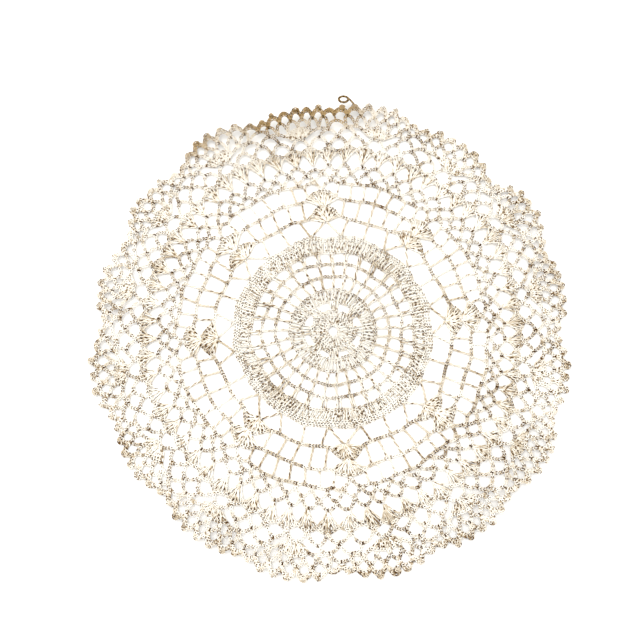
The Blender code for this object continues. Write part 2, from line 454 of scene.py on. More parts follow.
@dataclass(frozen=True)
class Fan:
    """A fan of long stitches that spread from a narrow foot to an arched top.

    The half turn is half the width of the top in degrees, and the pinch is how far the outer
    stitches bow towards the middle.
    """

    foot_radius: float
    foot_half_width: float
    top_radius: float
    corner_radius: float
    half_turn: float
    stitches: int
    face: Face = Face.LEVEL
    pinch: float = 0.0

    def top(self, share: np.ndarray) -> np.ndarray:
        """Radius along its top: corner + (top - corner)(1 - share^2)."""
        return self.corner_radius + (self.top_radius - self.corner_radius) * (1.0 - share**2)


@dataclass
class Yarn:
    """Cotton thread worked into stitches: many thin closed tubes, gathered into one mesh.

    Shades, tones, drops and spots are shares of the way between the darkest thread and the
    lightest, and a wobble is mostly within the size that is given for it. The darker depth and
    sides of the threads, the dark strands, the dots, the dashes and the dips are painted shade.
    """

    handwork: Handwork
    seed: int
    radius: float = 0.40
    shade: float = 0.0
    sides: int = 4
    wobble_deviations: float = 1.6
    tone_floor: float = 0.7
    tone_spread: float = 0.3
    dark_share: float = 0.08
    dark_drop: float = 0.28
    crown_floor: float = 0.64
    crown_spread: float = 0.36
    depth_range: tuple = (-1.25, -0.05)
    full_spot: tuple = (0.85, 1.3)
    slight_spot: float = 0.05
    chain_pitch: float = 2.3
    chain_half_width: float = 0.84
    chain_rise: float = 0.34
    loop_points: int = 8
    loop_middle: float = 0.43
    loop_half_length: float = 0.70
    loop_taper: float = 0.3
    loop_wobble: float = 0.10
    loop_lean: float = 0.16
    dot_share: float = 0.48
    dot_edge: float = 0.6
    post_rise: float = 0.5
    post_sway: float = 0.35
    post_start: float = 0.5
    post_waist: float = 0.25
    first_strand_shade: float = 0.08
    dash_share: float = 0.62
    dash_length: float = 0.62
    deep_points: int = 10
    dips: float = 2.2
    dip_share: float = 0.62
    dip_edge: float = 0.8
    dip_height: float = -0.12
    rope_strands: int = 3
    points: list = field(default_factory=list)
    faces: list = field(default_factory=list)
    uvs: list = field(default_factory=list)
    tones: list = field(default_factory=list)
    lights: list = field(default_factory=list)
    count: int = 0

    def __post_init__(self) -> None:
        """Starts the row of chances that makes the stitches uneven."""
        self.chance = np.random.default_rng(self.seed)

    def wobble(self, shape: tuple, size: float) -> np.ndarray:
        """Small uneven amounts, mostly within size on either side of nought."""
        return self.chance.normal(0.0, size / self.wobble_deviations, shape)

    def spots(self, many: int, share: float) -> np.ndarray:
        """Depth of a painted shadow spot on each of many threads: full on a share of them, or slight.
        """
        full = self.chance.uniform(*self.full_spot, (many, 1))
        return np.where(self.chance.random((many, 1)) < share, full, self.slight_spot * full)

    def sweep(self, lines: np.ndarray, closed: bool, darkened_by: np.ndarray) -> None:
        """Carries the round section of the thread along many paths at once.

        A ring point is path + radius (cos a side + sin a over), where side = tangent x up and
        over = side x tangent. Open paths get a flat cap at both ends.

        Args:
            lines: Paths, as an array of path, point and x, y, z.
            closed: Whether every path returns to its first point.
            darkened_by: How much darker the thread is, up to 1, at every point or as one number.
        """
        many, length = lines.shape[:2]
        ahead = np.roll(lines, -1, axis=1) - np.roll(lines, 1, axis=1)
        if not closed:
            ahead[:, 0] = lines[:, 1] - lines[:, 0]
            ahead[:, -1] = lines[:, -1] - lines[:, -2]
        tangent = unit(ahead)
        side = unit(np.cross(tangent, UP))
        over = np.cross(side, tangent)
        angle = math.tau * np.arange(self.sides) / self.sides
        ring = self.radius * (
            np.cos(angle)[:, None] * side[:, :, None] + np.sin(angle)[:, None] * over[:, :, None]
        )
        number = self.count + np.arange(many * length * self.sides).reshape(many, length, self.sides)
        onward = np.roll(number, -1, axis=1) if closed else number[:, 1:]
        here = number if closed else number[:, :-1]
        quads = [here, onward, np.roll(onward, -1, axis=2), np.roll(here, -1, axis=2)]
        self.points.append((lines[:, :, None] + ring).reshape(-1, 3))
        self.faces.append(np.stack(quads, axis=-1).reshape(-1, 4))
        self.uvs.append(self.unrolled(lines, here.shape[1]))
        tone = self.tone_floor + self.tone_spread * self.chance.random((many, 1))
        # Painted shade: a share of the strands are darker, as if lying in shadow
        tone = np.where(self.chance.random((many, 1)) < self.dark_share, tone - self.dark_drop, tone)
        # The piece's shade and the painted shadows and shade passed in lower the tone
        tone = np.clip(tone - self.shade - darkened_by + np.zeros((many, length)), 0.0, 1.0)
        self.tones.append(np.repeat(tone.ravel(), self.sides))
        # Painted light: a thread's top is lit, its sides are darker, and threads lower in the mat are
        # darker still
        crown = self.crown_floor + self.crown_spread * np.maximum(np.sin(angle), 0.0)
        self.lights.append((smooth(lines[..., 2:], *self.depth_range) * crown).ravel())
        if not closed:
            caps = np.concatenate([number[:, 0], number[:, -1, ::-1]])
            self.faces.append(caps)
            self.uvs.append(np.zeros((len(caps), 4, 2)))
        self.count += many * length * self.sides

    def unrolled(self, lines: np.ndarray, stretches: int) -> np.ndarray:
        """UV corners of every quad: millimetres along the thread and turns round it.

        Args:
            lines: Paths of the thread, as an array of path, point and x, y, z.
            stretches: Quads along each path.

        Returns:
            Four corners for each quad, in the order of the faces.
        """
        steps = np.linalg.norm(np.roll(lines, -1, axis=1) - lines, axis=-1)
        along = np.concatenate([np.zeros((len(lines), 1)), np.cumsum(steps, axis=1)], axis=1)
        first = along[:, :stretches, None] + np.zeros(self.sides)
        after = along[:, 1 : stretches + 1, None] + np.zeros(self.sides)
        turn = np.arange(self.sides) / self.sides + np.zeros(first.shape)
        onward = turn + 1.0 / self.sides
        pairs = [(first, turn), (after, turn), (after, onward), (first, onward)]
        return np.stack([np.stack(pair, axis=-1) for pair in pairs], axis=3).reshape(-1, 4, 2)

    def chain(
        self, lines: np.ndarray, face: Face = Face.LEVEL, pitch: float = 0.0, darkened_by: float = 0.0
    ) -> None:
        """Works a chain along every line, one teardrop loop of thread for each stitch.

        A loop runs a = middle - half cos t along the stitch, b = width sin t (1 - taper cos t)
        across it and c = -rise cos t upwards, so each head lies on the next one's foot.

        Args:
            lines: Table points along every line.
            face: How high the chain lies in the mat.
            pitch: Length of a stitch, or 0 for the usual one.
            darkened_by: How much darker than others these threads are, up to 1.
        """
        steps = np.linalg.norm(np.diff(lines, axis=1), axis=-1).sum(axis=1)
        count = max(2, int(round(float(steps.mean()) / (pitch or self.chain_pitch))))
        stations = at_height(spaced(lines, count), face.value)
        start = stations[:, :-1].reshape(-1, 3)
        along = stations[:, 1:].reshape(-1, 3) - start
        across = unit(np.cross(UP, along))
        step = math.tau * np.arange(self.loop_points) / self.loop_points
        a = self.loop_middle - self.loop_half_length * np.cos(step)
        b = self.chain_half_width * np.sin(step) * (1.0 - self.loop_taper * np.cos(step))
        c = -self.chain_rise * np.cos(step)
        size = 1.0 + self.wobble((len(start), 1, 1), self.loop_wobble)
        lean = self.wobble((len(start), 1, 1), self.loop_lean)
        loops = start[:, None] + a[:, None] * along[:, None]
        loops = loops + (size * b[:, None] + lean * np.cos(step)[:, None]) * across[:, None]
        loops = loops + c[:, None] * UP
        # Painted shadow: on a share of the loops, a dark dot at the foot, under the head before it
        dots = smooth(np.cos(step), -self.dot_edge, self.dot_edge)
        self.sweep(loops, True, darkened_by + self.spots(len(start), self.dot_share) * dots)

    def posts(
        self,
        feet: np.ndarray,
        heads: np.ndarray,
        stitch: Stitch,
        darkened_by: np.ndarray = 0.0,
        bend: np.ndarray = 0.0,
    ) -> None:
        """Works a long stitch from every foot to its head, as strands twisted round each other.

        A strand runs b = spread cos t across the stitch and c = rise sin t upwards, where t
        makes the stitch's turns from foot to head and the rise is the spread or the most
        allowed. Both are drawn in towards the stitch's waist.

        Args:
            feet: Table points at the inner ends.
            heads: Table points at the outer ends.
            stitch: Kind of stitch.
            darkened_by: How much darker than others these threads are, up to 1.
            bend: How far the middle of each stitch bows out clockwise.
        """
        share = np.linspace(0.0, 1.0, stitch.points)[None, :, None]
        sway = self.wobble((len(feet),), self.post_sway) + bend
        sway = sway[:, None, None] * np.sin(np.pi * share)
        across = unit(np.stack([heads[:, 1] - feet[:, 1], feet[:, 0] - heads[:, 0]], axis=-1))
        middle = feet[:, None] * (1.0 - share) + heads[:, None] * share + sway * across[:, None]
        middle = at_height(middle, stitch.face.value)
        start = self.wobble((len(feet), 1), self.post_start)
        rise = min(stitch.spread, self.post_rise)
        pull = 1.0 - self.post_waist * np.sin(np.pi * share[..., 0])
        for strand in range(stitch.strands):
            angle = math.tau * (stitch.twist * share[..., 0] + strand / stitch.strands) + start
            line = middle.copy()
            line[..., :2] += (stitch.spread * pull * np.cos(angle))[..., None] * across[:, None]
            line[..., 2] += rise * pull * np.sin(angle)
            # Painted shade: the first strand is a little darker, and each strand gets a short painted
            # shadow
            depth = self.first_strand_shade if strand == 0 else 0.0
            self.sweep(line, False, darkened_by + depth + self.dashes(middle))

    def dashes(self, lines: np.ndarray) -> np.ndarray:
        """How dark every point is from one short shadow on each strand.

        The shadow is depth exp(-(distance from its middle / length)^2), its middle at a chance
        place along the strand.

        Args:
            lines: Middles of the stitches, as an array of stitch, point and x, y, z.

        Returns:
            Darkness of every point of every strand.
        """
        reach = np.linalg.norm(lines[:, -1] - lines[:, 0], axis=-1)[:, None]
        share = np.linspace(0.0, 1.0, lines.shape[1])[None, :]
        away = (share - self.chance.random((len(lines), 1))) * reach
        return self.spots(len(lines), self.dash_share) * np.exp(-((away / self.dash_length) ** 2))

    def deep(self, feet: np.ndarray, heads: np.ndarray) -> None:
        """Works one extra strand deep between close stitches, dark where it dips, which stands in for
        the shadow in the gap.

        Its darkness is a smooth step of cos(turn x (dips share + chance)) along the strand.

        Args:
            feet: Table points at the inner ends.
            heads: Table points at the outer ends.
        """
        share = np.linspace(0.0, 1.0, self.deep_points)[None, :, None]
        lines = feet[:, None] * (1.0 - share) + heads[:, None] * share
        phase = self.chance.random((len(feet), 1))
        wave = np.cos(math.tau * (self.dips * share[..., 0] + phase))
        dark = smooth(wave, 0.0, self.dip_edge) * self.spots(len(feet), self.dip_share)
        self.sweep(at_height(lines, self.dip_height), False, dark)

    def rope(
        self, line: np.ndarray, closed: bool, spread: float, pitch: float, darkened_by: float
    ) -> None:
        """Twists a few strands round one line.

        A strand runs line + spread (cos t across + sin t over), where t makes a turn each pitch.

        Args:
            line: Points along the line, with their height.
            closed: Whether the line returns to its first point.
            spread: Distance of a strand from the line.
            pitch: Length of one turn of the twist.
            darkened_by: How much darker than others these threads are, up to 1.
        """
        ahead = np.gradient(line, axis=0)
        across = unit(np.cross(UP, ahead))
        over = unit(np.cross(ahead, across))
        steps = np.linalg.norm(np.diff(line, axis=0), axis=-1)
        along = np.concatenate([[0.0], np.cumsum(steps)])
        turns = max(1, round(float(along[-1]) / pitch))
        for strand in range(self.rope_strands):
            angle = math.tau * (turns * along / along[-1] + strand / self.rope_strands)
            path = line + spread * (np.cos(angle)[:, None] * across + np.sin(angle)[:, None] * over)
            self.sweep(path[None, :-1] if closed else path[None], closed, darkened_by)

    def triangles(self) -> int:
        """Number of triangles worked so far."""
        return 2 * sum(len(rows) for rows in self.faces)

    def mesh(self, name: str) -> bpy.types.Mesh:
        """Puts all the thread into one mesh, in metres.

        Three attributes set the colour. The painted light is painted shade: it runs from 1 on the lit
        tops of the threads at the mat's upper face to 0 in its depth, and is lower on their sides.
        The tone is how light a strand is by chance, lowered by painted shadows and shade and by soft
        patches. The third is its share of the brown edge near the loop. The UV map counts millimetres
        along the thread and turns round it.

        Args:
            name: Name of the mesh.

        Returns:
            The mesh.
        """
        points = np.concatenate(self.points)
        faces = np.concatenate(self.faces)
        laid = self.handwork.lay(points)
        mesh = bpy.data.meshes.new(name)
        mesh.vertices.add(len(points))
        mesh.vertices.foreach_set("co", (laid * MM).astype(np.float32).ravel())
        mesh.loops.add(faces.size)
        mesh.loops.foreach_set("vertex_index", faces.astype(np.int32).ravel())
        mesh.polygons.add(len(faces))
        mesh.polygons.foreach_set("loop_start", np.arange(0, faces.size, 4, dtype=np.int32))
        mesh.polygons.foreach_set("use_smooth", np.ones(len(faces), bool))
        layer = mesh.uv_layers.new(name="thread")
        layer.uv.foreach_set("vector", np.concatenate(self.uvs).astype(np.float32).ravel())
        # Painted shade on one side and soft patches of uneven tone lower the tone
        tones = np.concatenate(self.tones) - self.handwork.side_shade_and_patches(points)
        looks = {
            "painted_light": np.concatenate(self.lights),
            "tone": np.clip(tones, 0.0, 1.0),
            "brown_edge": self.handwork.brown_edge(points),
        }
        for look, values in looks.items():
            attribute = mesh.attributes.new(look, "FLOAT", "POINT")
            attribute.data.foreach_set("value", values.astype(np.float32))
        mesh.update(calc_edges=True)
        mesh.validate()
        return mesh


@dataclass(frozen=True)
class CottonFinish:
    """Undyed cotton thread: cream on its lit upper turns, with painted shade that turns it tan and
    dark brown in its depth, browner at one edge.
    """

    # Painted shade: each ramp runs from the dark brown of shadow at 0 up to the lit colour of the
    # thread
    shaded_cream: tuple = (
        (0.00, (0.055, 0.024, 0.006)),
        (0.20, (0.16, 0.085, 0.027)),
        (0.45, (0.55, 0.46, 0.325)),
        (0.68, (0.80, 0.772, 0.708)),
    )
    shaded_brown: tuple = (
        (0.00, (0.020, 0.009, 0.002)),
        (0.20, (0.08, 0.042, 0.013)),
        (0.45, (0.23, 0.145, 0.058)),
        (0.72, (0.42, 0.30, 0.15)),
    )
    roughness: float = 0.85
    sheen: float = 0.03
    ply_pitch: float = 1.1
    ply_depth: float = 0.25
    ply_height: float = 0.1

    def material(self) -> bpy.types.Material:
        """Builds the thread's material from the mesh's attributes and its UV map.

        The painted light times the tone, both darkened by painted shade, says where both colour ramps
        are read, and the share of the brown edge mixes them.

        Returns:
            The material.
        """
        material = bpy.data.materials.new("cotton_thread")
        material.use_nodes = True
        tree = material.node_tree
        shader = tree.nodes["Principled BSDF"]
        shader.inputs["Roughness"].default_value = self.roughness
        shader.inputs["Specular IOR Level"].default_value = self.sheen
        light = tree.nodes.new("ShaderNodeMath")
        light.operation = "MULTIPLY"
        tree.links.new(self.attribute(tree, "painted_light"), light.inputs[0])
        tree.links.new(self.attribute(tree, "tone"), light.inputs[1])
        shaded_cream = self.ramp(tree, light.outputs[0], self.shaded_cream)
        shaded_brown = self.ramp(tree, light.outputs[0], self.shaded_brown)
        colour = self.mix(tree, self.attribute(tree, "brown_edge"), shaded_cream, shaded_brown)
        tree.links.new(colour, shader.inputs["Base Color"])
        tree.links.new(self.ply(tree), shader.inputs["Normal"])
        return material

    def attribute(self, tree: bpy.types.NodeTree, name: str) -> bpy.types.NodeSocket:
        """Reads one of the mesh's attributes."""
        node = tree.nodes.new("ShaderNodeAttribute")
        node.attribute_name = name
        return node.outputs["Fac"]

    def ramp(
        self, tree: bpy.types.NodeTree, share: bpy.types.NodeSocket, stops: tuple
    ) -> bpy.types.NodeSocket:
        """Reads a row of colours.

        Args:
            tree: The material's nodes.
            share: Where to read, from 0 to 1.
            stops: Place and colour of each stop.

        Returns:
            The colour.
        """
        node = tree.nodes.new("ShaderNodeValToRGB")
        while len(node.color_ramp.elements) < len(stops):
            node.color_ramp.elements.new(0.5)
        for element, (place, colour) in zip(node.color_ramp.elements, stops):
            element.position = place
            element.color = (*colour, 1.0)
        tree.links.new(share, node.inputs["Fac"])
        return node.outputs["Color"]

    def mix(
        self,
        tree: bpy.types.NodeTree,
        share: bpy.types.NodeSocket,
        low: bpy.types.NodeSocket,
        high: bpy.types.NodeSocket,
    ) -> bpy.types.NodeSocket:
        """Mixes two colours.

        Args:
            tree: The material's nodes.
            share: Share of the second colour.
            low: The first colour.
            high: The second colour.

        Returns:
            The mixed colour.
        """
        node = tree.nodes.new("ShaderNodeMix")
        node.data_type = "RGBA"
        factor = node.inputs["Factor"]
        first, second = (socket for socket in node.inputs if socket.type == "RGBA")
        for source, socket in ((share, factor), (low, first), (high, second)):
            tree.links.new(source, socket)
        return next(socket for socket in node.outputs if socket.type == "RGBA")

    def ply(self, tree: bpy.types.NodeTree) -> bpy.types.NodeSocket:
        """Slanting ridges of the thread's plies, as waves across the UV map.

        Args:
            tree: The material's nodes.

        Returns:
            The normal.
        """
        uv = tree.nodes.new("ShaderNodeUVMap")
        uv.uv_map = "thread"
        wave = tree.nodes.new("ShaderNodeTexWave")
        wave.bands_direction = "DIAGONAL"
        wave.inputs["Scale"].default_value = 1.0 / self.ply_pitch
        tree.links.new(uv.outputs["UV"], wave.inputs["Vector"])
        bump = tree.nodes.new("ShaderNodeBump")
        bump.inputs["Strength"].default_value = self.ply_depth
        bump.inputs["Distance"].default_value = self.ply_height * MM
        tree.links.new(wave.outputs["Fac"], bump.inputs["Height"])
        return bump.outputs["Normal"]


@dataclass
class ThreadPiece:
    """A piece of the mat that is worked from thread."""

    handwork: Handwork
    name: str = "thread"
    seed: int = 1
    thread: float = 0.40
    shade: float = 0.0

    def __post_init__(self) -> None:
        """Takes up the thread."""
        self.yarn = Yarn(self.handwork, self.seed, self.thread, self.shade)

    def work(self) -> None:
        """Works the stitches."""
        raise NotImplementedError

    def build(self, finish: bpy.types.Material) -> bpy.types.Object:
        """Makes the piece, dresses it and says what it is.

        Args:
            finish: The thread's material.

        Returns:
            The finished piece.
        """
        self.work()
        piece = bpy.data.objects.new(self.name, self.yarn.mesh(self.name))
        piece.data.materials.append(finish)
        bpy.context.scene.collection.objects.link(piece)
        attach(piece, "root")
        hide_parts("lace_mat")
        LOG.info("%s: %d triangles", self.name, self.yarn.triangles())
        return piece


@dataclass
class Rounds(ThreadPiece):
    """Some rounds of the mat, worked as one piece of lace between two radii.

    The fields of bands shape close rounds, those of rings the chains all the way round, those of
    fans the fans, and those of knots the short stitches over a chain.
    """

    inner: float = 0.0
    outer: float = 1.0
    cover: float = 0.6
    band_shade: float = 0.0
    band_stitch: Stitch = Stitch(strands=2, spread=0.52)
    band_twist_length: float = 4.6
    band_points_a_millimetre: float = 1.3
    band_least_points: int = 8
    # Painted shade that makes the rows of chain read as tan lines
    chain_shade: float = 0.06
    ring_wobble: float = 0.45
    ring_waves: tuple = (7.0, 13.0, 29.0)
    ring_points_a_step: int = 8
    foot_wobble: float = 0.5
    head_wobble: float = 0.6
    least_radius: float = 8.0
    fan_stitch: Stitch = Stitch(strands=2, spread=0.5, twist=1.5, points=9)
    fan_wobble: float = 0.2
    fan_deep_start: float = 0.25
    fan_rim_reach: float = 1.04
    fan_rim_points: int = 33
    fan_rim_rise: float = 0.5
    knot: Stitch = Stitch(strands=2, spread=0.45, twist=0.6, points=5, face=Face.OVER)
    knot_reach: float = 1.1
    knot_foot: float = 0.9
    # Painted shade at the joints: each knot is darker by a chance share within this range
    knot_shade: tuple = (0.1, 0.9)

    def ring(
        self, radius: float, face: Face = Face.LEVEL, pitch: float = 0.0, darkened_by: float = 0.0
    ) -> None:
        """Works a chain all the way round, uneven by the sum of a few waves.

        Args:
            radius: Radius of the chain.
            face: How high it lies in the mat.
            pitch: Length of a stitch, or 0 for the usual one.
            darkened_by: How much darker than others its threads are, up to 1.
        """
        turn = np.linspace(0.0, FULL_TURN, 1 + self.ring_points_a_step * STEPS_A_ROUND)
        rate = np.array(self.ring_waves)[:, None]
        waves = self.yarn.wobble(rate.shape, self.ring_wobble)
        phase = self.yarn.chance.random(rate.shape) * FULL_TURN
        uneven = (waves * np.sin(np.radians(rate * turn + phase))).sum(axis=0)
        self.yarn.chain(self.handwork.place(turn, radius + uneven)[None], face, pitch, darkened_by)

    def regular_posts(
        self,
        turns: np.ndarray,
        inner: float,
        outer: float,
        stitch: Stitch,
        lean: float = 0.0,
        darkened_by: float = 0.0,
    ) -> None:
        """Works stitches straight out at the given turns, each a little uneven.

        Args:
            turns: Turns of their feet.
            inner: Radius of their feet.
            outer: Radius of their heads.
            stitch: Kind of stitch.
            lean: How far their heads stand ahead of their feet, in degrees.
            darkened_by: How much darker than others their threads are, up to 1.
        """
        near = max(inner, self.least_radius)
        foot = turns + np.degrees(self.yarn.wobble(turns.shape, self.foot_wobble) / near)
        head = turns + lean + np.degrees(self.yarn.wobble(turns.shape, self.head_wobble) / outer)
        feet, heads = self.handwork.place(foot, inner), self.handwork.place(head, outer)
        self.yarn.posts(feet, heads, stitch, darkened_by)

    def close_posts(self, band: Band, first: float = 0.0) -> None:
        """Works a close round of stitches, with a dark strand deep between each two that stands in
        for the shadow in the gap.

        Args:
            band: The round.
            first: Turn of its first stitch.
        """
        turns = first + FULL_TURN * np.arange(band.stitches) / band.stitches
        tall = band.outer - band.inner
        points = max(self.band_least_points, round(tall * self.band_points_a_millimetre))
        stitch = replace(self.band_stitch, twist=tall / self.band_twist_length, points=points)
        self.regular_posts(turns, band.inner, band.outer, stitch, band.lean, self.band_shade)
        between = turns + FULL_TURN / band.stitches / 2.0
        feet = self.handwork.place(between, band.inner)
        self.yarn.deep(feet, self.handwork.place(between + band.lean, band.outer))

    def fans(self, axes: np.ndarray, fan: Fan) -> None:
        """Works a fan of long stitches on every axis, with a chain of heads along its top.

        Args:
            axes: Turns of the fans' middles.
            fan: Shape of the fans.
        """
        axis = axes[:, None]
        share = np.linspace(-1.0, 1.0, fan.stitches)[None, :]
        foot_turn = axis + np.degrees(fan.foot_half_width * share / fan.foot_radius)
        feet = self.handwork.place(foot_turn, fan.foot_radius)
        heads = self.handwork.place(axis + fan.half_turn * share, fan.top(share))
        heads = heads + self.yarn.wobble(heads.shape, self.fan_wobble)
        bend = np.broadcast_to(-fan.pinch * share, foot_turn.shape).ravel()
        stitch = replace(self.fan_stitch, face=fan.face)
        self.yarn.posts(feet.reshape(-1, 2), heads.reshape(-1, 2), stitch, self.band_shade, bend)
        # Painted shadow: a dark strand deep in each gap between the stitches
        foot_gaps = (feet[:, 1:] + feet[:, :-1]) / 2.0
        head_gaps = (heads[:, 1:] + heads[:, :-1]) / 2.0
        low = foot_gaps * (1.0 - self.fan_deep_start) + head_gaps * self.fan_deep_start
        self.yarn.deep(low.reshape(-1, 2), head_gaps.reshape(-1, 2))
        fine = np.linspace(-self.fan_rim_reach, self.fan_rim_reach, self.fan_rim_points)[None, :]
        rim = self.handwork.place(axis + fan.half_turn * fine, fan.top(fine) + self.fan_rim_rise)
        self.yarn.chain(rim, fan.face)

    def arcs(self, feet: np.ndarray, peaks: np.ndarray, power: float) -> np.ndarray:
        """Works a chain arch over every gap between neighbouring feet of a closed round.

        Args:
            feet: Table points that the arches stand on, in order round the mat.
            peaks: Table points of their tops, the first one between the first two feet.
            power: Roundness of the arches.

        Returns:
            The tops, for the next round to stand on.
        """
        self.yarn.chain(bowed(feet, np.roll(feet, -1, axis=0), peaks, power))
        return peaks

    def knots(self, points: np.ndarray) -> None:
        """Works a short stitch over a chain at every point, straight out from the centre, each darker
        by chance as painted shade at the joint.

        Args:
            points: Table points.
        """
        centre = np.array([self.handwork.ring_x, self.handwork.ring_y])
        out = unit(points - centre) * self.knot_reach
        darkened_by = self.yarn.chance.uniform(*self.knot_shade, (len(points), 1))
        self.yarn.posts(points - out * self.knot_foot, points + out, self.knot, darkened_by)

    def flat_size(self) -> tuple[float, float]:
        """Width of the band of rounds and its length round the mat, in metres."""
        return ((self.outer - self.inner) * MM, math.pi * (self.outer + self.inner) * MM)

    def build(self, finish: bpy.types.Material) -> bpy.types.Object:
        """Makes the piece.

        Args:
            finish: The thread's material.

        Returns:
            The finished piece.
        """
        piece = super().build(finish)
        return piece


@dataclass
class CentreMedallion(Rounds):
    """Centre ring, two close rounds, eight groups of stems and the first close band."""

    name: str = "centre_medallion"
    seed: int = 11
    outer: float = 33.0
    cover: float = 1.0
    thread: float = 0.34
    band_shade: float = -0.24
    ring_radius: float = 4.9
    ring_pitch: float = 1.9
    first_round: Band = Band(24, 5.0, 10.6, 3.0)
    first_chain: float = 11.0
    second_round: Band = Band(32, 11.2, 15.6, -3.0)
    second_chain: float = 15.8
    stem_turns: tuple = (-8.6, -2.9, 2.9, 8.6)
    stem_foot: float = 16.0
    stem_head: float = 22.6
    stem: Stitch = Stitch(spread=0.42)
    band: Band = Band(64, 23.2, 31.4, 1.5)
    last_chain: float = 32.0

    def flat_size(self) -> tuple[float, float]:
        """Sides of a strip as wide as the disc and of the same area, in metres."""
        return (2.0 * self.outer * MM, 2.0 * self.outer * MM * math.pi / 4.0)

    def work(self) -> None:
        """Works the centre from its ring to the first band."""
        self.ring(self.ring_radius, Face.OVER, self.ring_pitch)
        self.close_posts(self.first_round)
        self.ring(self.first_chain)
        self.close_posts(self.second_round)
        self.ring(self.second_chain)
        groups = REPEAT_PITCH * np.arange(REPEATS)[:, None] + np.array(self.stem_turns)
        self.regular_posts(groups.ravel(), self.stem_foot, self.stem_head, self.stem)
        self.ring(self.stem_head)
        self.close_posts(self.band)
        self.ring(self.last_chain, Face.OVER, darkened_by=self.chain_shade)


@dataclass
class MeshRounds(Rounds):
    """Three rounds of open mesh and the second close band, with its firm rim."""

    name: str = "mesh_rounds"
    seed: int = 23
    inner: float = 32.0
    outer: float = 74.5
    cover: float = 0.8
    thread: float = 0.38
    shade: float = 0.08
    band_shade: float = -0.14
    cells: int = 32
    rows: tuple = ((32.6, 42.0), (43.0, 52.0))
    row_chain: float = 0.5
    bar: Stitch = Stitch(spread=0.8)
    pair_half_turn: float = 1.0
    pair_foot: float = 53.0
    pair_head: float = 61.2
    pair_bar: Stitch = Stitch(spread=0.55)
    pair_chain: float = 61.8
    band: Band = Band(160, 62.2, 69.6, 1.0)
    rim_radii: tuple = (70.2, 72.0, 73.8)
    # Painted shade of the rim chains; below nought they are lighter
    rim_shade: float = -0.16

    def work(self) -> None:
        """Works the mesh outwards and then the band."""
        cell = FULL_TURN / self.cells
        turns = SHELL_TURN + cell / 4.0 + cell * np.arange(self.cells)
        for foot, head in self.rows:
            self.regular_posts(turns, foot, head, self.bar)
            self.ring(head + self.row_chain, darkened_by=self.chain_shade)
        pairs = (turns[:, None] + self.pair_half_turn * np.array(BOTH_SIDES)).ravel()
        self.regular_posts(pairs, self.pair_foot, self.pair_head, self.pair_bar)
        self.ring(self.pair_chain, Face.OVER, darkened_by=self.chain_shade)
        self.close_posts(self.band, SHELL_TURN)
        for radius in self.rim_radii:
            self.ring(radius, darkened_by=self.rim_shade)


